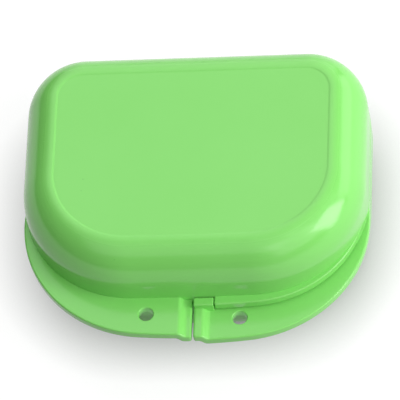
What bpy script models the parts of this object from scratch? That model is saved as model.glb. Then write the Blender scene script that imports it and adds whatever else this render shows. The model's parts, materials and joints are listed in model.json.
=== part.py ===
"""Hinged denture case in glossy green polypropylene.

The case is two copies of one moulding. The base is the lid turned over by half a turn about the
front to back axis, so its half of the thumb lip, its catch block and its hinge parts lie opposite
the lid's. Each half is drawn closed, as the lid, with z = 0 on the middle plane between the halves,
x across and the hinge towards +y. All sizes are in metres.
"""

import math
from collections import namedtuple

import bmesh
import bpy
from mathutils import Matrix

# Outline sizes of one D-shaped plan: straight sides and rear, rounded corners, flat front arc.
Plan = namedtuple("Plan", "half_width rear front rear_radius corner_radius front_radius")

# Shell
HALF_HEIGHT = 0.0164
PARTING_GAP = 0.0003
SHELL_WALL = 0.0016
WALL_DRAFT = 0.0001
SHOULDER_RISE = 0.0098
SHOULDER_ACROSS = 0.0074
SHOULDER_EXPONENT = 1.8
WALL_HALF_WIDTH = 0.0397
WALL_REAR = 0.0295
WALL_FRONT = 0.0311
WALL_REAR_RADIUS = 0.0140
WALL_CORNER_RADIUS = 0.0262
WALL_FRONT_RADIUS = 0.9000

# Sunk panel in the top of the lid and the bottom of the base
PANEL_LAND = 0.0003
PANEL_DEPTH = 0.00035
PANEL_STEP = 0.0005

# Rim ledge on one side of the front; rim and lip stand back a little from the meeting faces
RIM_THICKNESS = 0.0021
RIM_RELIEF = 0.00015
LEDGE_WIDTH = 0.0022
LEDGE_SIDE_SINK = 0.0005
LEDGE_CORNER_GROWTH = 0.0002
LEDGE_FRONT_RADIUS = 0.2120
EDGE_ROUNDING = 0.0005

# Thumb lip: each half carries one side of it, and both step to the middle plane at their inner ends
LIP_WIDTH = 0.0098
LIP_OVERHANG = 0.0002
LIP_CORNER_GROWTH = 0.0040
LIP_FRONT_RADIUS = 0.1300
LIP_RUN_IN = math.radians(24)
LIP_END_GAP = 0.0007
LIP_TONGUE_WIDTH = 0.00085
LIP_RAMP_WIDTH = 0.00215
LIP_RAMP_SHIFT = 0.00065
CORD_HOLE_RADIUS = 0.0017
CORD_HOLE_X = 0.0106
CORD_HOLE_FROM_FRONT = 0.00565

# Catch block, which drops through a notch in the other half's ledge
CATCH_WIDTH = 0.0044
CATCH_CLEARANCE = 0.0003
TONGUE_CLEARANCE = 0.0002
CATCH_BEAD = 0.0002
CATCH_BEAD_HEIGHT = 0.0006

# Rear hinge: a bar between two ears, and a clip that holds the other half's bar
HINGE_CENTRE_X = 0.0160
HINGE_CLEARANCE = 0.0006
BAR_RADIUS = 0.0012
BAR_LENGTH = 0.0100
EAR_THICKNESS = 0.0016
EAR_HEIGHT = 0.0055
CLIP_CLEARANCE = 0.0003
CLIP_WALL = 0.0008
CLIP_MOUTH_ANGLE = math.radians(315)
CLIP_MOUTH_HALF_ANGLE = math.radians(38)

# One overrun carries cutters past the faces they cut and joined shapes into each other
OVERRUN = 0.0005
WELD_DISTANCE = 0.000003
FLAT_ANGLE = math.radians(0.05)
SHARP_ANGLE = math.radians(35)

# Counts of straight runs in each rounded stretch, and the length of one run along a flange's front
FRONT_STEPS = 8
FLANGE_RUN = 0.0010
CORNER_STEPS = 14
REAR_STEPS = 8
SHOULDER_STEPS = 8
CIRCLE_STEPS = 28

GREEN = (0.30, 0.74, 0.22, 1.0)
GLOSS_ROUGHNESS = 0.22

# Places worked out from the sizes above
MEETING_FACE = PARTING_GAP / 2
RIM_LOW = MEETING_FACE + RIM_RELIEF
RIM_TOP = RIM_LOW + RIM_THICKNESS
CLIP_BORE = BAR_RADIUS + CLIP_CLEARANCE
EAR_RADIUS = CLIP_BORE + CLIP_WALL
HINGE_Y = WALL_REAR + HINGE_CLEARANCE + EAR_RADIUS
LIP_FRONT = WALL_FRONT + LIP_WIDTH
CATCH_FRONT = WALL_FRONT + LEDGE_WIDTH
CATCH_REAR = WALL_FRONT + CATCH_CLEARANCE
CATCH_INNER_X = LIP_END_GAP / 2
CATCH_OUTER_X = CATCH_INNER_X + CATCH_WIDTH
REACH = WALL_HALF_WIDTH + LIP_FRONT
WALL_PLAN = Plan(
    WALL_HALF_WIDTH, WALL_REAR, WALL_FRONT, WALL_REAR_RADIUS, WALL_CORNER_RADIUS, WALL_FRONT_RADIUS
)


def clear_scene():
    for item in list(bpy.data.objects):
        bpy.data.objects.remove(item)


def new_collection(name):
    collection = bpy.data.collections.new(name)
    bpy.context.scene.collection.children.link(collection)
    return collection


def arc(centre_x, centre_y, radius, start, end, steps):
    """Points on a circle from one angle to another, both ends included."""
    angles = [start + (end - start) * i / steps for i in range(steps + 1)]
    return [(centre_x + radius * math.cos(a), centre_y + radius * math.sin(a)) for a in angles]


def front_geometry(half_width, front, corner_radius, front_radius):
    """Where the flat front arc meets the corner arc: the two centres' y and the angle they share."""
    front_centre_y = front_radius - front
    across = half_width - corner_radius
    between = math.sqrt((front_radius - corner_radius) ** 2 - across**2)
    corner_centre_y = front_centre_y - between
    return front_centre_y, corner_centre_y, math.atan2(-between, across)


def d_outline(plan, inset=0):
    """Points of a D-shaped plan moved inwards by inset, anticlockwise from the middle of the front."""
    half_width = plan.half_width - inset
    rear = plan.rear - inset
    front = plan.front - inset
    rear_radius = plan.rear_radius - inset
    corner_radius = plan.corner_radius - inset
    front_radius = plan.front_radius - inset
    front_y, corner_y, meet = front_geometry(half_width, front, corner_radius, front_radius)
    corner_x = half_width - corner_radius
    rear_x = half_width - rear_radius
    rear_y = rear - rear_radius
    right = arc(0, front_y, front_radius, -math.pi / 2, meet, FRONT_STEPS // 2)
    right += arc(corner_x, corner_y, corner_radius, meet, 0, CORNER_STEPS)[1:]
    right += arc(rear_x, rear_y, rear_radius, 0, math.pi / 2, REAR_STEPS)
    left = [(-x, y) for x, y in reversed(right[1:])]
    return right + left


def mesh_object(name, mesh, collection):
    item = bpy.data.objects.new(name, mesh)
    collection.objects.link(item)
    return item


def weld(mesh):
    """Joins a filled curve's caps to its sides and makes each flat cap one face."""
    shape = bmesh.new()
    shape.from_mesh(mesh)
    bmesh.ops.remove_doubles(shape, verts=shape.verts, dist=WELD_DISTANCE)
    bmesh.ops.dissolve_limit(
        shape, angle_limit=FLAT_ANGLE, verts=shape.verts, edges=shape.edges
    )
    bmesh.ops.recalc_face_normals(shape, faces=shape.faces)
    shape.to_mesh(mesh)
    shape.free()


def curve_prism(name, points, low, high, collection):
    """A flat outline in x and y as a filled curve, extruded between two heights, as a mesh."""
    curve = bpy.data.curves.new(name, "CURVE")
    curve.dimensions = "2D"
    curve.fill_mode = "BOTH"
    curve.extrude = (high - low) / 2
    spline = curve.splines.new("POLY")
    spline.points.add(len(points) - 1)
    for point, (x, y) in zip(spline.points, points):
        point.co = (x, y, 0, 1)
    spline.use_cyclic_u = True
    guide = mesh_object(name + "_outline", curve, collection)
    bpy.context.view_layer.update()
    mesh = bpy.data.meshes.new_from_object(
        guide.evaluated_get(bpy.context.evaluated_depsgraph_get())
    )
    bpy.data.objects.remove(guide)
    weld(mesh)
    mesh.transform(Matrix.Translation((0, 0, (low + high) / 2)))
    return mesh_object(name, mesh, collection)


def side_prism(name, points, low_x, high_x, collection):
    """An outline given in y and z, extruded along x."""
    item = curve_prism(name, points, low_x, high_x, collection)
    turn = Matrix(((0, 0, 1, 0), (1, 0, 0, 0), (0, 1, 0, 0), (0, 0, 0, 1)))
    item.data.transform(turn)
    return item


def front_prism(name, points, low_y, high_y, collection):
    """An outline given in x and z, extruded along y."""
    item = curve_prism(name, points, -high_y, -low_y, collection)
    turn = Matrix(((1, 0, 0, 0), (0, 0, -1, 0), (0, 1, 0, 0), (0, 0, 0, 1)))
    item.data.transform(turn)
    return item


def cylinder(name, radius, length, place, collection):
    """A round bar whose axis is z before place, a matrix, puts it where it belongs."""
    shape = bmesh.new()
    bmesh.ops.create_cone(
        shape,
        cap_ends=True,
        segments=CIRCLE_STEPS,
        radius1=radius,
        radius2=radius,
        depth=length,
        matrix=place,
    )
    mesh = bpy.data.meshes.new(name)
    shape.to_mesh(mesh)
    shape.free()
    return mesh_object(name, mesh, collection)


def loft(name, rings, collection):
    """A closed skin over level outlines of the same number of points, given with their heights."""
    shape = bmesh.new()
    rows = [[shape.verts.new((x, y, z)) for x, y in points] for points, z in rings]
    count = len(rows[0])
    shape.faces.new(reversed(rows[0]))
    shape.faces.new(rows[-1])
    for lower, upper in zip(rows, rows[1:]):
        for i in range(count):
            j = (i + 1) % count
            shape.faces.new((lower[i], lower[j], upper[j], upper[i]))
    mesh = bpy.data.meshes.new(name)
    shape.to_mesh(mesh)
    shape.free()
    return mesh_object(name, mesh, collection)


def bowl_rings(inset, low, top, across, rise):
    """Level outlines of a bowl: a wall with its draft, then a shoulder on a superellipse."""
    wall = inset + WALL_DRAFT
    rings = [(d_outline(WALL_PLAN, inset), low), (d_outline(WALL_PLAN, wall), top - rise)]
    power = 2 / SHOULDER_EXPONENT
    for i in range(1, SHOULDER_STEPS + 1):
        angle = math.pi / 2 * i / SHOULDER_STEPS
        inwards = across * (1 - max(math.cos(angle), 0) ** power)
        up = rise * math.sin(angle) ** power
        rings.append((d_outline(WALL_PLAN, wall + inwards), top - rise + up))
    return rings


def round_sharp_edges(item, radius):
    bevel = item.modifiers.new("edge", "BEVEL")
    bevel.limit_method = "ANGLE"
    bevel.angle_limit = math.radians(60)
    bevel.width = radius
    bevel.segments = 2


def combine(item, other, operation):
    """A Boolean of one shape with another, which then shows as a wire guide only."""
    modifier = item.modifiers.new(other.name, "BOOLEAN")
    modifier.operation = operation
    modifier.solver = "EXACT"
    modifier.object = other
    other.display_type = "WIRE"
    other.hide_render = True


def make_dome(tools):
    """The outer dome, solid for now, from the meeting face to the top."""
    rings = bowl_rings(0, MEETING_FACE, HALF_HEIGHT, SHOULDER_ACROSS, SHOULDER_RISE)
    return loft("dome", rings, tools)


def make_cavity(tools):
    """The inside of the bowl, one wall thickness in from the dome and from the sunk panel."""
    ceiling = HALF_HEIGHT - PANEL_DEPTH - SHELL_WALL
    across = SHOULDER_ACROSS - SHELL_WALL
    rise = SHOULDER_RISE - PANEL_DEPTH - SHELL_WALL
    rings = bowl_rings(SHELL_WALL, MEETING_FACE - OVERRUN, ceiling, across, rise)
    return loft("cavity", rings, tools)


def make_panel_recess(tools):
    """The shallow recess in the top, whose edge slopes in over the width of its step."""
    edge = WALL_DRAFT + SHOULDER_ACROSS + PANEL_LAND
    slope = PANEL_STEP / PANEL_DEPTH
    floor = d_outline(WALL_PLAN, edge + PANEL_STEP)
    mouth = d_outline(WALL_PLAN, edge - slope * OVERRUN)
    rings = [(floor, HALF_HEIGHT - PANEL_DEPTH), (mouth, HALF_HEIGHT + OVERRUN)]
    return loft("panel_recess", rings, tools)


def front_side_plan(inner_x, half_width, front, corner_radius, front_radius, run_in):
    """Plan of a flange on the right of the front: its arcs, then its root inside the shell."""
    front_y, corner_y, meet = front_geometry(half_width, front, corner_radius, front_radius)
    start = -math.acos(inner_x / front_radius)
    corner_x = half_width - corner_radius
    steps = max(round((corner_x - inner_x) / FLANGE_RUN), 1)
    points = arc(0, front_y, front_radius, start, meet, steps)
    points += arc(corner_x, corner_y, corner_radius, meet, run_in, CORNER_STEPS)[1:]
    root = -WALL_FRONT + SHELL_WALL / 2
    root_x = WALL_HALF_WIDTH - WALL_CORNER_RADIUS
    return points + [(root_x, corner_y), (root_x, root), (inner_x, root)]


def make_ledge(tools):
    """The rim ledge, which starts beside the notch that the other half's catch stands in."""
    plan = front_side_plan(
        CATCH_OUTER_X + CATCH_CLEARANCE,
        WALL_HALF_WIDTH - LEDGE_SIDE_SINK,
        WALL_FRONT + LEDGE_WIDTH,
        WALL_CORNER_RADIUS + LEDGE_CORNER_GROWTH,
        LEDGE_FRONT_RADIUS,
        0,
    )
    ledge = curve_prism("ledge", plan, RIM_LOW, RIM_TOP, tools)
    round_sharp_edges(ledge, EDGE_ROUNDING)
    return ledge


def lip_plan():
    """Plan of the lid's side of the lip, left of the middle gap."""
    right = front_side_plan(
        LIP_END_GAP / 2,
        WALL_HALF_WIDTH + LIP_OVERHANG,
        LIP_FRONT,
        WALL_CORNER_RADIUS + LIP_CORNER_GROWTH,
        LIP_FRONT_RADIUS,
        LIP_RUN_IN,
    )
    return [(-x, y) for x, y in reversed(right)]


def lip_section():
    """Section of the lip in x and z: level outside, then a ramp down to a tongue by the gap."""
    inner = -LIP_END_GAP / 2
    tongue = inner - LIP_TONGUE_WIDTH
    ramp = tongue - LIP_RAMP_WIDTH
    half = RIM_THICKNESS / 2
    return [
        (-REACH, RIM_LOW),
        (ramp - LIP_RAMP_SHIFT, RIM_LOW),
        (tongue - LIP_RAMP_SHIFT, -half),
        (inner, -half),
        (inner, half),
        (tongue, half),
        (ramp, RIM_TOP),
        (-REACH, RIM_TOP),
    ]


def make_lip(tools):
    """The lid's side of the thumb lip, clear of the other half's wall, with its cord hole."""
    lip = curve_prism("lip", lip_plan(), -RIM_TOP, RIM_TOP + OVERRUN, tools)
    section = front_prism("lip_section", lip_section(), -REACH, 0, tools)
    combine(lip, section, "INTERSECT")
    round_sharp_edges(lip, EDGE_ROUNDING)
    return lip


def make_wall_clearance(tools):
    """The other half's front wall with its clearance, kept out of the lip's tongue and the catch."""
    outline = d_outline(WALL_PLAN, -TONGUE_CLEARANCE)
    return curve_prism("wall_clearance", outline, -REACH, MEETING_FACE + RIM_RELIEF / 2, tools)


def make_cord_hole(tools):
    centre_y = -(LIP_FRONT - CORD_HOLE_FROM_FRONT)
    place = Matrix.Translation((-CORD_HOLE_X, centre_y, RIM_LOW + RIM_THICKNESS / 2))
    return cylinder("cord_hole", CORD_HOLE_RADIUS, RIM_THICKNESS + 2 * OVERRUN, place, tools)


def make_catch(tools):
    """The block under the lip's inner end, with a bead on the face towards the wall."""
    bead_top = -MEETING_FACE - CATCH_BEAD_HEIGHT
    bead_low = bead_top - CATCH_BEAD_HEIGHT
    section = [
        (-CATCH_FRONT, RIM_LOW + OVERRUN),
        (-CATCH_FRONT, -RIM_TOP),
        (-CATCH_REAR, -RIM_TOP),
        (-CATCH_REAR, bead_low),
        (-CATCH_REAR + CATCH_BEAD, (bead_low + bead_top) / 2),
        (-CATCH_REAR, bead_top),
        (-CATCH_REAR, RIM_LOW + OVERRUN),
    ]
    return side_prism("catch", section, -CATCH_OUTER_X, -CATCH_INNER_X, tools)


def arm_angle(wall_y):
    """Angle at which a line from the arm's high point on the wall touches the round end."""
    towards_wall = math.atan2(EAR_HEIGHT, wall_y - HINGE_Y)
    distance = math.hypot(EAR_HEIGHT, wall_y - HINGE_Y)
    return towards_wall - math.acos(EAR_RADIUS / distance)


def arm_outline(bored):
    """An arm in y and z, from its root in the rear wall to its round end about the hinge axis.

    A bored arm is a clip: it has a bore for the bar and a mouth narrower than the bar.
    """
    wall_y = WALL_REAR - OVERRUN
    start = math.pi - math.asin(RIM_LOW / EAR_RADIUS)
    end = 2 * math.pi + arm_angle(wall_y)
    root = [(wall_y, EAR_HEIGHT), (wall_y, RIM_LOW)]
    if not bored:
        return root + arc(HINGE_Y, 0, EAR_RADIUS, start, end, CIRCLE_STEPS)
    before = CLIP_MOUTH_ANGLE - CLIP_MOUTH_HALF_ANGLE
    after = CLIP_MOUTH_ANGLE + CLIP_MOUTH_HALF_ANGLE
    below = arc(HINGE_Y, 0, EAR_RADIUS, start, before, CIRCLE_STEPS // 2)
    bore = arc(HINGE_Y, 0, CLIP_BORE, before, after - 2 * math.pi, CIRCLE_STEPS)
    above = arc(HINGE_Y, 0, EAR_RADIUS, after, end, CIRCLE_STEPS // 2)
    return root + below + bore + above


def make_hinge_parts(tools):
    """The bar between its ears on the left, and the clip for the other half's bar on the right."""
    inner = -HINGE_CENTRE_X + BAR_LENGTH / 2
    outer = -HINGE_CENTRE_X - BAR_LENGTH / 2
    ear = arm_outline(False)
    inner_ear = side_prism("inner_ear", ear, inner, inner + EAR_THICKNESS, tools)
    outer_ear = side_prism("outer_ear", ear, outer - EAR_THICKNESS, outer, tools)
    across = Matrix.Translation((-HINGE_CENTRE_X, HINGE_Y, 0)) @ Matrix.Rotation(
        math.pi / 2, 4, "Y"
    )
    bar = cylinder("bar", BAR_RADIUS, BAR_LENGTH + 2 * OVERRUN, across, tools)
    near = HINGE_CENTRE_X - BAR_LENGTH / 2 + CLIP_CLEARANCE
    far = HINGE_CENTRE_X + BAR_LENGTH / 2 - CLIP_CLEARANCE
    clip = side_prism("clip", arm_outline(True), near, far, tools)
    return [inner_ear, outer_ear, bar, clip]


def make_half_mesh(tools):
    """One moulding: the shapes are joined, then the cavity, recess and hole are cut."""
    half = make_dome(tools)
    lip = make_lip(tools)
    combine(half, make_ledge(tools), "UNION")
    combine(lip, make_catch(tools), "UNION")
    combine(lip, make_wall_clearance(tools), "DIFFERENCE")
    combine(half, lip, "UNION")
    for piece in make_hinge_parts(tools):
        combine(half, piece, "UNION")
    combine(half, make_cavity(tools), "DIFFERENCE")
    combine(half, make_panel_recess(tools), "DIFFERENCE")
    combine(half, make_cord_hole(tools), "DIFFERENCE")
    half.hide_render = True
    half.display_type = "WIRE"
    bpy.context.view_layer.update()
    mesh = bpy.data.meshes.new_from_object(
        half.evaluated_get(bpy.context.evaluated_depsgraph_get())
    )
    mesh.transform(Matrix.Translation((0, -HINGE_Y, 0)))
    mesh.shade_smooth()
    mesh.set_sharp_from_angle(angle=SHARP_ANGLE)
    return mesh


def gloss_green(name):
    """Glossy, opaque, injection-moulded polypropylene."""
    material = bpy.data.materials.new(name)
    material.use_nodes = True
    shader = material.node_tree.nodes["Principled BSDF"]
    shader.inputs["Base Color"].default_value = GREEN
    shader.inputs["Roughness"].default_value = GLOSS_ROUGHNESS
    shader.inputs["Metallic"].default_value = 0
    return material


def place_half(name, mesh, hinge, turn, collection):
    """One half with its origin on the hinge axis, and a material slot of its own."""
    item = mesh_object(name, mesh, collection)
    item.parent = hinge
    item.rotation_euler = (0, turn, 0)
    if not mesh.materials:
        mesh.materials.append(None)
    item.material_slots[0].link = "OBJECT"
    item.material_slots[0].material = gloss_green(name + "_green")
    return item


def build():
    clear_scene()
    case = new_collection("denture_case")
    tools = new_collection("construction")
    mesh = make_half_mesh(tools)
    mesh.name = "case_half"
    depth_centre = (HINGE_Y + EAR_RADIUS - LIP_FRONT) / 2
    hinge = bpy.data.objects.new("hinge_axis", None)
    hinge.location = (0, HINGE_Y - depth_centre, HALF_HEIGHT)
    case.objects.link(hinge)
    place_half("lid_half", mesh, hinge, 0, case)
    place_half("base_half", mesh, hinge, math.pi, case)


build()
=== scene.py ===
"""Hinged denture case in glossy mint green polypropylene, closed, seen from above its front."""

import json
import math

import bmesh
import bpy
from mathutils import Matrix, Vector


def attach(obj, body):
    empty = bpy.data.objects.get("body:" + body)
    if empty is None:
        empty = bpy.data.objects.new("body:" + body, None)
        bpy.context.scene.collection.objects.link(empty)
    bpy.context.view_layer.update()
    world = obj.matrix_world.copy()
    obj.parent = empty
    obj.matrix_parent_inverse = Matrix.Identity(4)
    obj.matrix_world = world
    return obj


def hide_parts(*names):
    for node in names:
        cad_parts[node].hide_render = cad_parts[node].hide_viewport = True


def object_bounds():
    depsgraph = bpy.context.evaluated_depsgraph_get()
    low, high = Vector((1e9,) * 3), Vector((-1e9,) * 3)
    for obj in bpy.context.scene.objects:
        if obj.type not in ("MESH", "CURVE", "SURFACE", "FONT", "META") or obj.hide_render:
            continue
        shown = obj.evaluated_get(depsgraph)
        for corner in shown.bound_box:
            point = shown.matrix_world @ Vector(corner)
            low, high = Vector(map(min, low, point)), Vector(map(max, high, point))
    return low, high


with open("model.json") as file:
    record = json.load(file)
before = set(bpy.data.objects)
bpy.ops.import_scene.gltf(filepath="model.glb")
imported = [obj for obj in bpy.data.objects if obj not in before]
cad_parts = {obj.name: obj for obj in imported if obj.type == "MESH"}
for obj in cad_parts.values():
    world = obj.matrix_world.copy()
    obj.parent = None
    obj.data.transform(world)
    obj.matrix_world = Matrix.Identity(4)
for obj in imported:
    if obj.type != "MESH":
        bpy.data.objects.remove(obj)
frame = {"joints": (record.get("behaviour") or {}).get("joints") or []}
cad_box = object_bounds()

# The bowl of one moulding: a thin D-shaped wall with a broad rounded shoulder and a shallow sunk
# panel in its top. It is one injection-moulded polypropylene shell of even thickness, and the case
# has it twice, the lower one turned over.

HALF_HEIGHT = (cad_box[1].z - cad_box[0].z) / 2
HINGE = Vector(frame["joints"][0]["pos_m"])
HALF_GAP = 0.00015
WALL_THICKNESS = 0.0016
WALL_DRAFT = 0.0001
WALL_HALF_WIDTH = 0.0397
WALL_REAR = 0.0295
WALL_FRONT = 0.0311
REAR_CORNER_RADIUS = 0.0140
FRONT_CORNER_RADIUS = 0.0262
FRONT_BOW_RADIUS = 0.9000
SHOULDER_RISE = 0.0098
SHOULDER_ACROSS = 0.0074
SHOULDER_EXPONENT = 1.8
PANEL_DEPTH = 0.0001
PANEL_STEP = 0.0006
PANEL_LAND = 0.0003
RIM_ROUNDING = 0.00025
ROUND_EXPONENT = 2.0
BOWL_MERGE = 0.000002

PLAN_STEP = 0.0009
SIDE_RUNS = 4
REAR_RUNS = 6
RIM_POINTS = 5
WALL_POINTS = 7
SHOULDER_POINTS = 41
INNER_SHOULDER_POINTS = 29
STEP_POINTS = 8
FLAT_POINTS = 2


def arc(centre_x, centre_y, radius, start, end, step, inset=0):
    """Points about a step apart on a circle, both ends included, then moved towards its centre."""
    count = max(2, round(abs(end - start) * radius / step))
    angles = [start + (end - start) * i / count for i in range(count + 1)]
    reach = radius - inset
    return [(centre_x + reach * math.cos(a), centre_y + reach * math.sin(a)) for a in angles]


def front_arcs(half_width, front, corner_radius, bow_radius):
    """Centre heights of the bowed front and of the corner, and the angle at which they meet."""
    bow_y = bow_radius - front
    across = half_width - corner_radius
    between = math.sqrt((bow_radius - corner_radius) ** 2 - across**2)
    return bow_y, bow_y - between, math.atan2(-between, across)


def wall_outline(inset, step):
    """The bowl's plan moved inwards by an inset, anticlockwise from the middle of the front."""
    corner, rear_corner, bow = FRONT_CORNER_RADIUS, REAR_CORNER_RADIUS, FRONT_BOW_RADIUS
    bow_y, corner_y, meet = front_arcs(WALL_HALF_WIDTH, WALL_FRONT, corner, bow)
    rear_x = WALL_HALF_WIDTH - rear_corner
    rear_y = WALL_REAR - rear_corner
    side = WALL_HALF_WIDTH - inset
    right = arc(0, bow_y, bow, -math.pi / 2, meet, step, inset)
    right += arc(WALL_HALF_WIDTH - corner, corner_y, corner, meet, 0, step, inset)[1:]
    right += [(side, corner_y + (rear_y - corner_y) * run / SIDE_RUNS) for run in range(1, SIDE_RUNS)]
    right += arc(rear_x, rear_y, rear_corner, 0, math.pi / 2, step, inset)
    right += [(rear_x * (1 - run / REAR_RUNS), WALL_REAR - inset) for run in range(1, REAR_RUNS)]
    left = [(-x, y) for x, y in reversed(right[1:])]
    return right + [(0, WALL_REAR - inset)] + left


def socket_maker(tree):
    """Short ways to add a node to a tree and to add a sum, product or power of two values."""

    def add(kind, links=(), **settings):
        node = tree.nodes.new(kind)
        for name, value in settings.items():
            setattr(node, name, value)
        for name, value in dict(links).items():
            if isinstance(value, bpy.types.NodeSocket):
                tree.links.new(value, node.inputs[name])
            else:
                node.inputs[name].default_value = value
        return node

    def work(operation, a, b=0.0):
        return add("ShaderNodeMath", {0: a, 1: b}, operation=operation).outputs[0]

    return add, work


def bowl_tree(name):
    """Geometry Nodes that sweep the bowl's section along its plan and give it the plastic."""
    tree = bpy.data.node_groups.new(name, "GeometryNodeTree")
    ports = tree.interface
    ports.new_socket("Plan", in_out="INPUT", socket_type="NodeSocketGeometry")
    sizes = [
        "Foot", "Height", "Draft", "Wall", "Rise", "Across", "Exponent",
        "Panel Depth", "Panel Step", "Panel Land", "Rim Rounding", "Merge",
    ]
    for size in sizes:
        ports.new_socket(size, in_out="INPUT", socket_type="NodeSocketFloat")
    ports.new_socket("Plastic", in_out="INPUT", socket_type="NodeSocketMaterial")
    ports.new_socket("Bowl", in_out="OUTPUT", socket_type="NodeSocketGeometry")
    add, work = socket_maker(tree)
    given = add("NodeGroupInput").outputs

    def strip(count, inset_of, height_of):
        """One run of the section, whose inset and height are functions of the way along it."""
        line = add("GeometryNodeCurvePrimitiveLine").outputs[0]
        even = add("GeometryNodeResampleCurve", {"Curve": line, "Count": count}).outputs[0]
        along = add("GeometryNodeSplineParameter").outputs["Factor"]
        inwards = work("MULTIPLY", inset_of(along), -1.0)
        up = work("MULTIPLY", height_of(along), -1.0)
        place = add("ShaderNodeCombineXYZ", {"X": inwards, "Y": up})
        moved = {"Geometry": even, "Position": place.outputs[0]}
        return add("GeometryNodeSetPosition", moved).outputs[0]

    def straight(start, end):
        return lambda along: work("ADD", start, work("MULTIPLY", work("SUBTRACT", end, start), along))

    def quadrant(count, edge, across, base, rise, exponent):
        """A superelliptic quarter turn from the edge at its base to the top of its rise."""
        power = work("DIVIDE", 2.0, exponent)

        def inset(along):
            cosine = work("COSINE", work("MULTIPLY", along, math.pi / 2))
            left = work("POWER", work("MAXIMUM", cosine, 0.0), power)
            return work("ADD", edge, work("MULTIPLY", across, work("SUBTRACT", 1.0, left)))

        def height(along):
            sine = work("SINE", work("MULTIPLY", along, math.pi / 2))
            return work("ADD", base, work("MULTIPLY", rise, work("POWER", sine, power)))

        return strip(count, inset, height)

    foot, top, wall = given["Foot"], given["Height"], given["Wall"]
    rounding, draft = given["Rim Rounding"], given["Draft"]
    spring = work("SUBTRACT", top, given["Rise"])
    low = work("ADD", foot, rounding)
    land = work("ADD", draft, given["Across"])
    step = work("ADD", land, given["Panel Land"])
    inner_edge = work("ADD", wall, draft)
    inner_across = work("SUBTRACT", given["Across"], wall)
    floor = work("SUBTRACT", top, given["Panel Depth"])
    inner_rise = work("SUBTRACT", given["Rise"], work("ADD", given["Panel Depth"], wall))
    inner_spring = work("SUBTRACT", work("SUBTRACT", floor, wall), inner_rise)
    minus_rounding = work("MULTIPLY", rounding, -1.0)

    def sunk(along):
        """The panel's edge runs down in a smooth S to the panel."""
        ease = {"Value": along, "To Min": top, "To Max": floor}
        return add("ShaderNodeMapRange", ease, interpolation_type="SMOOTHSTEP").outputs[0]

    across, rise, exponent = given["Across"], given["Rise"], given["Exponent"]
    panel_edge = work("ADD", step, given["Panel Step"])
    rim_end = work("SUBTRACT", wall, rounding)
    runs = [
        quadrant(RIM_POINTS, 0.0, rounding, low, minus_rounding, ROUND_EXPONENT),
        strip(WALL_POINTS, straight(0.0, draft), straight(low, spring)),
        quadrant(SHOULDER_POINTS, draft, across, spring, rise, exponent),
        strip(FLAT_POINTS, straight(land, step), straight(top, top)),
        strip(STEP_POINTS, straight(step, panel_edge), sunk),
        strip(FLAT_POINTS, straight(rounding, rim_end), straight(foot, foot)),
        quadrant(RIM_POINTS, wall, minus_rounding, low, minus_rounding, ROUND_EXPONENT),
        strip(WALL_POINTS, straight(wall, inner_edge), straight(low, inner_spring)),
        quadrant(INNER_SHOULDER_POINTS, inner_edge, inner_across, inner_spring, inner_rise, exponent),
    ]
    section = add("GeometryNodeJoinGeometry")
    for run in runs:
        tree.links.new(run, section.inputs[0])
    upright = add("GeometryNodeSetCurveNormal", {"Curve": given["Plan"]}, mode="Z_UP").outputs[0]
    sweep = {"Curve": upright, "Profile Curve": section.outputs[0]}
    skin = add("GeometryNodeCurveToMesh", sweep).outputs[0]
    welded = {"Geometry": skin, "Distance": given["Merge"]}
    whole = add("GeometryNodeMergeByDistance", welded).outputs[0]
    real = add("GeometryNodeRealizeInstances", {"Geometry": whole}).outputs[0]
    plastic = add("GeometryNodeSetMaterial", {"Geometry": real, "Material": given["Plastic"]})
    tree.links.new(plastic.outputs[0], add("NodeGroupOutput").inputs[0])
    return tree


def shown_object(name, mesh):
    item = bpy.data.objects.new(name, mesh)
    bpy.context.scene.collection.objects.link(item)
    return item


def evaluated_mesh(item):
    """A plain mesh of the object with its modifiers applied, after which the object is removed."""
    bpy.context.view_layer.update()
    mesh = bpy.data.meshes.new_from_object(item.evaluated_get(bpy.context.evaluated_depsgraph_get()))
    bpy.data.objects.remove(item)
    return mesh


def make_bowl():
    """The swept bowl with its panel and its ceiling closed, as a mesh in the closed lid's place."""
    plan = bpy.data.curves.new("bowl_plan", "CURVE")
    plan.dimensions = "3D"
    points = wall_outline(0, PLAN_STEP)
    spline = plan.splines.new("POLY")
    spline.points.add(len(points) - 1)
    for point, (x, y) in zip(spline.points, points):
        point.co = (x, y, 0, 1)
    spline.use_cyclic_u = True
    guide = shown_object("bowl_plan", plan)
    modifier = guide.modifiers.new("bowl", "NODES")
    modifier.node_group = bowl_tree("bowl")
    sizes = {
        "Foot": HALF_GAP,
        "Height": HALF_HEIGHT,
        "Draft": WALL_DRAFT,
        "Wall": WALL_THICKNESS,
        "Rise": SHOULDER_RISE,
        "Across": SHOULDER_ACROSS,
        "Exponent": SHOULDER_EXPONENT,
        "Panel Depth": PANEL_DEPTH,
        "Panel Step": PANEL_STEP,
        "Panel Land": PANEL_LAND,
        "Rim Rounding": RIM_ROUNDING,
        "Merge": BOWL_MERGE,
        "Plastic": green,
    }
    for socket in modifier.node_group.interface.items_tree:
        if socket.name in sizes:
            modifier[socket.identifier] = sizes[socket.name]
    mesh = evaluated_mesh(guide)
    shape = bmesh.new()
    shape.from_mesh(mesh)
    bmesh.ops.holes_fill(shape, edges=[edge for edge in shape.edges if edge.is_boundary])
    bmesh.ops.recalc_face_normals(shape, faces=shape.faces)
    shape.to_mesh(mesh)
    shape.free()
    return mesh


# The plastic: one glossy mint green polypropylene for every piece, faintly clouded, with a few dust
# specks and hairline scuffs, and a satin finish on the sunk panels.

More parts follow.
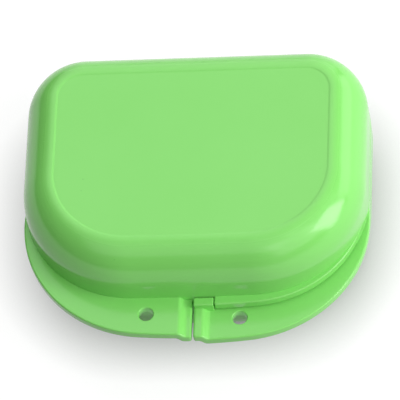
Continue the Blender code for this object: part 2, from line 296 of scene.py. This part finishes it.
MINT = (0.230, 0.710, 0.143, 1.0)
MINT_PALE = (0.240, 0.720, 0.153, 1.0)
MINT_SPECK = (0.17, 0.55, 0.11, 1.0)
PLASTIC_INDEX = 1.49
CLOUD_SCALE = 38.0
CLOUD_RANGE = (0.3, 0.7)
SPECK_SCALE = 420.0
SPECK_EDGE = (0.05, 0.09)
SPECK_PATCH_SCALE = 84.0
SPECK_PATCH_EDGE = (0.66, 0.70)
SPECK_STRENGTH = 0.6
SCUFF_SCALE = 240.0
SCUFF_STRETCH = (1.0, 14.0, 3.0)
SCUFF_TURN = (0.2, 0.3, 0.5)
SCUFF_EDGE = (0.68, 0.76)
GLOSS_SCALE = 95.0
GLOSS_RANGE = (0.25, 0.75)
GLOSS_ROUGHNESS = (0.16, 0.2)
MARK_ROUGHNESS = 0.05
SATIN_ROUGHNESS = 0.2
GRAIN_SCALE = 2600.0
GRAIN_DEPTH = 0.0000012
SINK_DEPTH = 0.000012


def mint_plastic(name):
    """A glossy opaque shader in object coordinates, whose roughness rises on scuffs and panels."""
    material = bpy.data.materials.new(name)
    material.use_nodes = True
    tree = material.node_tree
    shader = tree.nodes["Principled BSDF"]
    add, work = socket_maker(tree)
    place = add("ShaderNodeTexCoord").outputs["Object"]

    def noise(scale, detail, vector=place):
        return add("ShaderNodeTexNoise", {"Vector": vector, "Scale": scale, "Detail": detail}).outputs[0]

    def ranged(value, low, high, to_low, to_high):
        ends = {"Value": value, "From Min": low, "From Max": high, "To Min": to_low, "To Max": to_high}
        return add("ShaderNodeMapRange", ends).outputs[0]

    def blend_colour(share, first, second):
        """A mix of two colours, whose sockets go by number because their names repeat."""
        sockets = {0: share, 6: first, 7: second}
        return add("ShaderNodeMix", sockets, data_type="RGBA").outputs[2]

    clouding = ranged(noise(CLOUD_SCALE, detail=3.0), *CLOUD_RANGE, 0.0, 1.0)
    cloud = blend_colour(clouding, MINT, MINT_PALE)
    cells = add("ShaderNodeTexVoronoi", {"Vector": place, "Scale": SPECK_SCALE})
    dots = ranged(cells.outputs["Distance"], *SPECK_EDGE, 1.0, 0.0)
    rare = ranged(noise(SPECK_PATCH_SCALE, detail=0.0), *SPECK_PATCH_EDGE, 0.0, 1.0)
    speck = work("MULTIPLY", dots, rare)
    shader_colour = blend_colour(work("MULTIPLY", speck, SPECK_STRENGTH), cloud, MINT_SPECK)
    turned = {"Vector": place, "Scale": SCUFF_STRETCH, "Rotation": SCUFF_TURN}
    drawn = add("ShaderNodeMapping", turned).outputs[0]
    scuff = ranged(noise(SCUFF_SCALE, detail=1.0, vector=drawn), *SCUFF_EDGE, 0.0, 1.0)
    ripple = ranged(noise(GLOSS_SCALE, detail=2.0), *GLOSS_RANGE, *GLOSS_ROUGHNESS)
    marked = work("ADD", ripple, work("MULTIPLY", work("ADD", scuff, speck), MARK_ROUGHNESS))
    height = add("ShaderNodeSeparateXYZ", {"Vector": place}).outputs["Z"]
    from_middle = work("ABSOLUTE", work("SUBTRACT", height, HINGE.z))
    panel_height = HALF_HEIGHT - PANEL_DEPTH
    on_panel = ranged(from_middle, panel_height - PANEL_STEP, panel_height, 0.0, SATIN_ROUGHNESS)
    rough = work("ADD", marked, on_panel)
    tree.links.new(shader_colour, shader.inputs["Base Color"])
    tree.links.new(rough, shader.inputs["Roughness"])
    waves = noise(CLOUD_SCALE, detail=1.0)
    sink = {"Height": waves, "Distance": SINK_DEPTH, "Strength": 1.0}
    wavy = add("ShaderNodeBump", sink).outputs[0]
    grains = noise(GRAIN_SCALE, detail=2.0)
    grain = {"Height": grains, "Distance": GRAIN_DEPTH, "Strength": 1.0, "Normal": wavy}
    tree.links.new(add("ShaderNodeBump", grain).outputs[0], shader.inputs["Normal"])
    shader.inputs["IOR"].default_value = PLASTIC_INDEX
    return material


green = mint_plastic("mint_polypropylene")


# The rim ledge: a narrow shelf round one front corner of the bowl, moulded with it, on which the
# other half's lip closes. It stops short of the middle and leaves a notch for the catch block.

RIM_BACK = 0.0003
RIM_THICKNESS = 0.0021
RIM_TOP = RIM_BACK + RIM_THICKNESS
LEDGE_WIDTH = 0.0022
LEDGE_CORNER_GROWTH = 0.0002
LEDGE_BOW_RADIUS = 0.2120
LEDGE_ROUNDING = 0.00035
MIDDLE_GAP = 0.0004
CATCH_WIDTH = 0.00455
CATCH_CLEARANCE = 0.00018
FLANGE_STEP = 0.0008
FLANGE_SINK = 0.0005
FLANGE_ROOT = 0.0012
FLANGE_CORNER = 0.00015
ROUND_RUNS = 4
MEET_OVERLAP = 0.0005


def quarter_round(radius):
    """How far in and how far from its face a rounded edge has come after each of its runs."""
    turns = [math.pi / 2 * run / ROUND_RUNS for run in range(ROUND_RUNS + 1)]
    return [(radius * (1 - math.cos(a)), radius * (1 - math.sin(a))) for a in turns]


def flange(name, inner_x, half_width, front, corner_radius, bow_radius, rounding, side):
    """A plate round one front corner, with rounded edges, rooted in the wall; side is 1 or -1."""
    bow_y, corner_y, meet = front_arcs(half_width, front, corner_radius, bow_radius)
    corner_x = half_width - corner_radius
    run_in = math.acos(min((WALL_HALF_WIDTH - FLANGE_SINK - corner_x) / corner_radius, 1))
    end = FLANGE_CORNER + rounding
    end_x = inner_x + end
    end_y = bow_y - math.sqrt((bow_radius - end) ** 2 - end_x**2)
    end_turn = math.atan2(end_y - bow_y, end_x)
    stop_y = corner_y + corner_radius * math.sin(run_in)
    root = [
        (x, y) for x, y in wall_outline(FLANGE_ROOT, FLANGE_STEP)
        if x > end_x + FLANGE_STEP and y < min(stop_y, 0)
    ]
    root.reverse()

    def ring(inset, height):
        points = arc(end_x, end_y, end, math.pi, 2 * math.pi + end_turn, rounding / ROUND_RUNS, inset)
        points += arc(0, bow_y, bow_radius, end_turn, meet, FLANGE_STEP, inset)[1:]
        points += arc(corner_x, corner_y, corner_radius, meet, run_in, FLANGE_STEP, inset)[1:]
        points += root + [(inner_x + inset, -WALL_FRONT + FLANGE_ROOT)]
        return [(side * x, y, height) for x, y in points]

    curve = quarter_round(rounding)
    rings = [ring(inset, RIM_BACK + up) for inset, up in reversed(curve)]
    rings += [ring(inset, RIM_TOP - up) for inset, up in curve]
    return stacked(name, rings)


def stacked(name, rings):
    """A closed solid through rings of the same number of points, the first and last filled."""
    shape = bmesh.new()
    rows = [[shape.verts.new(point) for point in ring] for ring in rings]
    shape.faces.new(rows[0])
    shape.faces.new(rows[-1])
    for low, high in zip(rows, rows[1:]):
        for i in range(len(low)):
            shape.faces.new((low[i - 1], low[i], high[i], high[i - 1]))
    bmesh.ops.recalc_face_normals(shape, faces=shape.faces)
    mesh = bpy.data.meshes.new(name)
    shape.to_mesh(mesh)
    shape.free()
    mesh.materials.append(green)
    return shown_object(name, mesh)


def make_ledge():
    return flange(
        "ledge",
        inner_x=MIDDLE_GAP / 2 + CATCH_WIDTH + CATCH_CLEARANCE,
        half_width=WALL_HALF_WIDTH - FLANGE_SINK,
        front=WALL_FRONT + LEDGE_WIDTH,
        corner_radius=FRONT_CORNER_RADIUS + LEDGE_CORNER_GROWTH,
        bow_radius=LEDGE_BOW_RADIUS,
        rounding=LEDGE_ROUNDING,
        side=1,
    )


# The thumb lip: the wide flange that the fingers pull to open the case. Each half carries one side
# of it, with a cord hole, and each side ramps to the middle plane beside the gap between the two.

LIP_WIDTH = 0.0098
LIP_OVERHANG = 0.0002
LIP_CORNER_GROWTH = 0.0040
LIP_BOW_RADIUS = 0.1300
LIP_FRONT = WALL_FRONT + LIP_WIDTH
LIP_ROUNDING = 0.00045
TONGUE_WIDTH = 0.0010
RAMP_WIDTH = 0.00215
RAMP_SHIFT = 0.00065
RAMP_CUTS = 24
RAMP_EASE = 0.45
TONGUE_CLEARANCE = 0.0002
HOLE_RADIUS = 0.0017
HOLE_X = 0.0106
HOLE_FROM_FRONT = 0.00565
HOLE_ROUNDING = 0.00025
HOLE_SIDES = 64


def eased(share):
    """A ramp from 0 to 1 with a soft start and end."""
    share = min(max(share, 0.0), 1.0)
    if share < RAMP_EASE:
        return share**2 / (2 * RAMP_EASE * (1 - RAMP_EASE))
    if share > 1 - RAMP_EASE:
        return 1 - (1 - share) ** 2 / (2 * RAMP_EASE * (1 - RAMP_EASE))
    return (share - RAMP_EASE / 2) / (1 - RAMP_EASE)


def make_lip():
    """The lid's side of the lip, left of the gap, ramped down to its tongue."""
    lip = flange(
        "lip",
        inner_x=MIDDLE_GAP / 2,
        half_width=WALL_HALF_WIDTH + LIP_OVERHANG,
        front=LIP_FRONT,
        corner_radius=FRONT_CORNER_RADIUS + LIP_CORNER_GROWTH,
        bow_radius=LIP_BOW_RADIUS,
        rounding=LIP_ROUNDING,
        side=-1,
    )
    tongue = -MIDDLE_GAP / 2 - TONGUE_WIDTH
    ramp = tongue - RAMP_WIDTH
    middle = (RIM_BACK + RIM_TOP) / 2
    shape = bmesh.new()
    shape.from_mesh(lip.data)
    for cut in range(RAMP_CUTS + 1):
        x = ramp - RAMP_SHIFT + (tongue + RAMP_SHIFT - ramp) * cut / RAMP_CUTS
        bmesh.ops.bisect_plane(
            shape, geom=shape.verts[:] + shape.edges[:] + shape.faces[:],
            plane_co=(x, 0, 0), plane_no=(1, 0, 0), dist=BOWL_MERGE,
        )
    for vertex in shape.verts:
        shift = RAMP_SHIFT if vertex.co.z < middle else 0
        vertex.co.z -= middle * eased((vertex.co.x + shift - ramp) / RAMP_WIDTH)
    shape.to_mesh(lip.data)
    shape.free()
    return lip


def make_cord_hole():
    """What is cut away for the hole, flared so that the hole's rims come out rounded."""
    flare = quarter_round(HOLE_ROUNDING)
    low = [(HOLE_RADIUS + out, RIM_BACK + up) for out, up in reversed(flare)]
    high = [(HOLE_RADIUS + out, RIM_TOP - up) for out, up in flare]
    mouth = HOLE_RADIUS + HOLE_ROUNDING
    steps = [(mouth, RIM_BACK - MEET_OVERLAP)] + low + high + [(mouth, RIM_TOP + MEET_OVERLAP)]
    centre_y = -(LIP_FRONT - HOLE_FROM_FRONT)
    angles = [2 * math.pi * i / HOLE_SIDES for i in range(HOLE_SIDES)]
    return stacked("cord_hole", [
        [(r * math.cos(a) - HOLE_X, r * math.sin(a) + centre_y, z) for a in angles]
        for r, z in steps
    ])


# The catch block: a small block under the lip's inner end that drops through the notch in the
# other half's ledge. A low bead on its inner face snaps over that half's wall.

CATCH_BEAD = 0.0002
CATCH_BEAD_HEIGHT = 0.0006
CATCH_ROUNDING = 0.00025
ROUNDED_ANGLE = math.radians(50)


def side_on(name, section, low_x, high_x):
    """A section seen from the side, given in y and z, made solid between two places across."""
    return stacked(name, [[(x, y, z) for y, z in section] for x in (low_x, high_x)])


def round_edges(item, radius):
    bevel = item.modifiers.new("edge", "BEVEL")
    bevel.limit_method = "ANGLE"
    bevel.angle_limit = ROUNDED_ANGLE
    bevel.width = radius
    bevel.segments = ROUND_RUNS


def make_catch():
    front = -(WALL_FRONT + LEDGE_WIDTH)
    rear = -(WALL_FRONT + CATCH_CLEARANCE)
    bead_top = -HALF_GAP - CATCH_BEAD_HEIGHT
    bead_low = bead_top - CATCH_BEAD_HEIGHT
    section = [
        (front, RIM_BACK + MEET_OVERLAP),
        (front, -RIM_TOP),
        (rear, -RIM_TOP),
        (rear, bead_low),
        (rear + CATCH_BEAD, (bead_low + bead_top) / 2),
        (rear, bead_top),
        (rear, RIM_BACK + MEET_OVERLAP),
    ]
    catch = side_on("catch", section, -MIDDLE_GAP / 2 - CATCH_WIDTH, -MIDDLE_GAP / 2)
    round_edges(catch, CATCH_ROUNDING)
    return catch


def make_wall_room():
    """The room that the other half's front wall takes, kept out of the tongue and the catch."""
    outline = wall_outline(-TONGUE_CLEARANCE, FLANGE_STEP)
    top = (HALF_GAP + RIM_BACK) / 2
    return stacked("wall_room", [[(x, y, z) for x, y in outline] for z in (-LIP_FRONT, top)])


# The rear hinge: a short bar between two ears on one side of the middle, and on the other side an
# open clip that holds the other half's bar. All of it is moulded with the bowl.

HINGE_CENTRE_X = 0.0160
HINGE_CLEARANCE = 0.0006
BAR_RADIUS = 0.0012
BAR_LENGTH = 0.0100
BAR_SIDES = 48
EAR_THICKNESS = 0.0016
EAR_HEIGHT = 0.0055
CLIP_CLEARANCE = 0.0003
CLIP_WALL = 0.0008
CLIP_MOUTH = math.radians(315)
CLIP_MOUTH_HALF = math.radians(38)
CLIP_BORE = BAR_RADIUS + CLIP_CLEARANCE
EAR_RADIUS = CLIP_BORE + CLIP_WALL
HINGE_Y = WALL_REAR + HINGE_CLEARANCE + EAR_RADIUS
HINGE_STEP = 0.0003
HINGE_ROUNDING = 0.0002


def arm_outline(bored):
    """An arm seen from the side: its root in the rear wall and its round end about the hinge."""
    wall_y = WALL_REAR - MEET_OVERLAP
    towards = math.atan2(EAR_HEIGHT, wall_y - HINGE_Y)
    reach = math.hypot(EAR_HEIGHT, wall_y - HINGE_Y)
    start = math.pi - math.asin(RIM_BACK / EAR_RADIUS)
    end = 2 * math.pi + towards - math.acos(EAR_RADIUS / reach)
    root = [(wall_y, EAR_HEIGHT), (wall_y, RIM_BACK)]
    if not bored:
        return root + arc(HINGE_Y, 0, EAR_RADIUS, start, end, HINGE_STEP)
    before, after = CLIP_MOUTH - CLIP_MOUTH_HALF, CLIP_MOUTH + CLIP_MOUTH_HALF
    below = arc(HINGE_Y, 0, EAR_RADIUS, start, before, HINGE_STEP)
    bore = arc(HINGE_Y, 0, CLIP_BORE, before, after - 2 * math.pi, HINGE_STEP)
    above = arc(HINGE_Y, 0, EAR_RADIUS, after, end, HINGE_STEP)
    return root + below + bore + above


def make_hinge():
    inner = -HINGE_CENTRE_X + BAR_LENGTH / 2
    outer = -HINGE_CENTRE_X - BAR_LENGTH / 2
    near = HINGE_CENTRE_X - BAR_LENGTH / 2 + CLIP_CLEARANCE
    far = HINGE_CENTRE_X + BAR_LENGTH / 2 - CLIP_CLEARANCE
    circle = [2 * math.pi * i / BAR_SIDES for i in range(BAR_SIDES)]
    bar = [(HINGE_Y + BAR_RADIUS * math.cos(a), BAR_RADIUS * math.sin(a)) for a in circle]
    arms = [
        side_on("inner_ear", arm_outline(False), inner, inner + EAR_THICKNESS),
        side_on("outer_ear", arm_outline(False), outer - EAR_THICKNESS, outer),
        side_on("clip", arm_outline(True), near, far),
    ]
    for arm in arms:
        round_edges(arm, HINGE_ROUNDING)
    return arms + [side_on("bar", bar, outer - MEET_OVERLAP, inner + MEET_OVERLAP)]


# The two halves: one moulding, used as the lid and, turned half round about the front to back
# axis, as the base. Each is one piece of plastic and rides on its own side of the hinge.

SHARP_ANGLE = math.radians(38)


def combine(item, other, operation):
    """One shape joined to another or cut by it, applied at once."""
    modifier = item.modifiers.new(other.name, "BOOLEAN")
    modifier.operation = operation
    modifier.solver = "EXACT"
    modifier.object = other
    name = item.name
    joined = shown_object(name + "_joined", evaluated_mesh(item))
    bpy.data.objects.remove(other)
    joined.name = name
    return joined


def make_half():
    """One finished moulding in the closed lid's place, with its flat faces shaded flat."""
    lip = combine(make_lip(), make_catch(), "UNION")
    lip = combine(lip, make_wall_room(), "DIFFERENCE")
    lip = combine(lip, make_cord_hole(), "DIFFERENCE")
    half = shown_object("half", make_bowl())
    for part in [make_ledge(), lip] + make_hinge():
        half = combine(half, part, "UNION")
    half.data.shade_smooth()
    half.data.set_sharp_from_angle(angle=SHARP_ANGLE)
    weighted = half.modifiers.new("even_shading", "WEIGHTED_NORMAL")
    weighted.keep_sharp = True
    return evaluated_mesh(half)


for body, turn in (("lid", 0), ("base", math.pi)):
    moulding = make_half()
    moulding.transform(Matrix.Translation((0, -HINGE_Y, 0)))
    moulding.transform(Matrix.Translation(HINGE) @ Matrix.Rotation(turn, 4, "Y"))
    shell = shown_object(body + "_moulding", moulding)
    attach(shell, body)
    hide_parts(body + "_half")


# The table: a plain pale surface under the case. What it lacks to white is added for the rays that see
# it, straight or in the gloss, so that no extra light falls on the case and its soft shadow stays.
# That added white fades close under and around the case, which paints a contact shadow there.

TABLE_SIZE = 4.0
TABLE_CELLS = 8
TABLE_PALE = (0.30, 0.30, 0.30, 1.0)
TABLE_ROUGHNESS = 0.9
TABLE_LIFT = 0.78
# How far from the case the painted contact shadow on the table reaches.
PAINTED_SHADOW_REACH = 0.014
WHITE = (1.0, 1.0, 1.0, 1.0)


def pale_table(name):
    material = bpy.data.materials.new(name)
    material.use_nodes = True
    tree = material.node_tree
    shader = tree.nodes["Principled BSDF"]
    add, work = socket_maker(tree)
    shader.inputs["Base Color"].default_value = TABLE_PALE
    shader.inputs["Roughness"].default_value = TABLE_ROUGHNESS
    shader.inputs["Specular IOR Level"].default_value = 0.0
    shader.inputs["Emission Color"].default_value = WHITE
    path = add("ShaderNodeLightPath").outputs
    mirrored = work("MAXIMUM", path["Is Glossy Ray"], path["Is Transmission Ray"])
    seen = work("MAXIMUM", path["Is Camera Ray"], mirrored)
    # Painted shadow: the white lift fades where the case is near, darkening the table under and beside
    # it.
    painted_shadow_ao = add("ShaderNodeAmbientOcclusion", {"Distance": PAINTED_SHADOW_REACH}).outputs["AO"]
    lift = work("MULTIPLY", seen, work("MULTIPLY", painted_shadow_ao, TABLE_LIFT))
    tree.links.new(lift, shader.inputs["Emission Strength"])
    return material


table_shape = bmesh.new()
bmesh.ops.create_grid(table_shape, x_segments=TABLE_CELLS, y_segments=TABLE_CELLS, size=TABLE_SIZE / 2)
table_mesh = bpy.data.meshes.new("table")
table_shape.to_mesh(table_mesh)
table_shape.free()
table_mesh.materials.append(pale_table("pale_table"))
table = shown_object("table", table_mesh)


# The light: a tall window-like soft box low on the right, which draws the crisp highlight on the front
# right corner, broad soft lights above it, behind and in front, and dim surroundings. Turns are counted
# in degrees from the front towards the right, and heights in degrees above the table.

SURROUND_LEVEL = 0.04
LIGHT_DISTANCE = 1.5

world = bpy.data.worlds.new("studio")
world.use_nodes = True
world.node_tree.nodes["Background"].inputs["Color"].default_value = WHITE
world.node_tree.nodes["Background"].inputs["Strength"].default_value = SURROUND_LEVEL
bpy.context.scene.world = world


def soft_light(name, turn, height, width, depth, level, roll=0):
    """A rectangular soft light aimed at the case, which looks as bright as white paper at level 1."""
    lamp = bpy.data.lights.new(name, "AREA")
    lamp.shape = "RECTANGLE"
    lamp.size = width
    lamp.size_y = depth
    lamp.energy = level * math.pi * width * depth
    turn, height = math.radians(turn), math.radians(height)
    away = Vector((
        math.sin(turn) * math.cos(height), -math.cos(turn) * math.cos(height), math.sin(height),
    ))
    aim = away.to_track_quat("Z", "Y").to_matrix() @ Matrix.Rotation(math.radians(roll), 3, "Z")
    light = bpy.data.objects.new(name, lamp)
    light.rotation_euler = aim.to_euler()
    light.location = HINGE + away * LIGHT_DISTANCE
    bpy.context.scene.collection.objects.link(light)
    return light


soft_light("window", turn=77, height=20.5, width=0.69, depth=0.96, level=6.6, roll=20)
soft_light("right_high", turn=80, height=55, width=1.0, depth=1.0, level=0.8)
soft_light("right_back", turn=122, height=17, width=1.3, depth=0.84, level=2.1)
soft_light("front_right", turn=40, height=34, width=1.1, depth=1.0, level=1.5)
soft_light("front_high", turn=350, height=62, width=1.7, depth=1.5, level=0.9)
soft_light("back", turn=180, height=20, width=1.3, depth=0.9, level=1.5)
soft_light("back_top", turn=193, height=57, width=1.2, depth=1.2, level=1.6)


# The camera: high in front of the case and a little to its right, looking down through a long lens,
# and rolled as the photograph is.

CAMERA_TURN = math.radians(12.21)
CAMERA_HEIGHT = math.radians(57.44)
CAMERA_ROLL = math.radians(-12.10)
CAMERA_DISTANCE = 1.20111
CAMERA_SENSOR = 36
CAMERA_LENS = 467.35
CAMERA_REACH = 20
CAMERA_ASIDE = 0.00032
CAMERA_UP = -0.00305

back = Vector((
    math.sin(CAMERA_TURN) * math.cos(CAMERA_HEIGHT),
    -math.cos(CAMERA_TURN) * math.cos(CAMERA_HEIGHT),
    math.sin(CAMERA_HEIGHT),
))
level_right = Vector((math.cos(CAMERA_TURN), math.sin(CAMERA_TURN), 0))
level_up = back.cross(level_right)
right = math.cos(CAMERA_ROLL) * level_right + math.sin(CAMERA_ROLL) * level_up
up = back.cross(right)
case_centre = HINGE - Vector((0, HINGE_Y, 0))
place = case_centre + back * CAMERA_DISTANCE + right * CAMERA_ASIDE + up * CAMERA_UP
lens = bpy.data.cameras.new("camera")
lens.sensor_width = CAMERA_SENSOR
lens.lens = CAMERA_LENS
lens.clip_end = CAMERA_REACH
camera = bpy.data.objects.new("camera", lens)
camera.matrix_world = Matrix.Translation(place) @ Matrix((right, up, back)).transposed().to_4x4()
bpy.context.scene.collection.objects.link(camera)
bpy.context.scene.camera = camera
bpy.context.scene.view_settings.view_transform = "Standard"
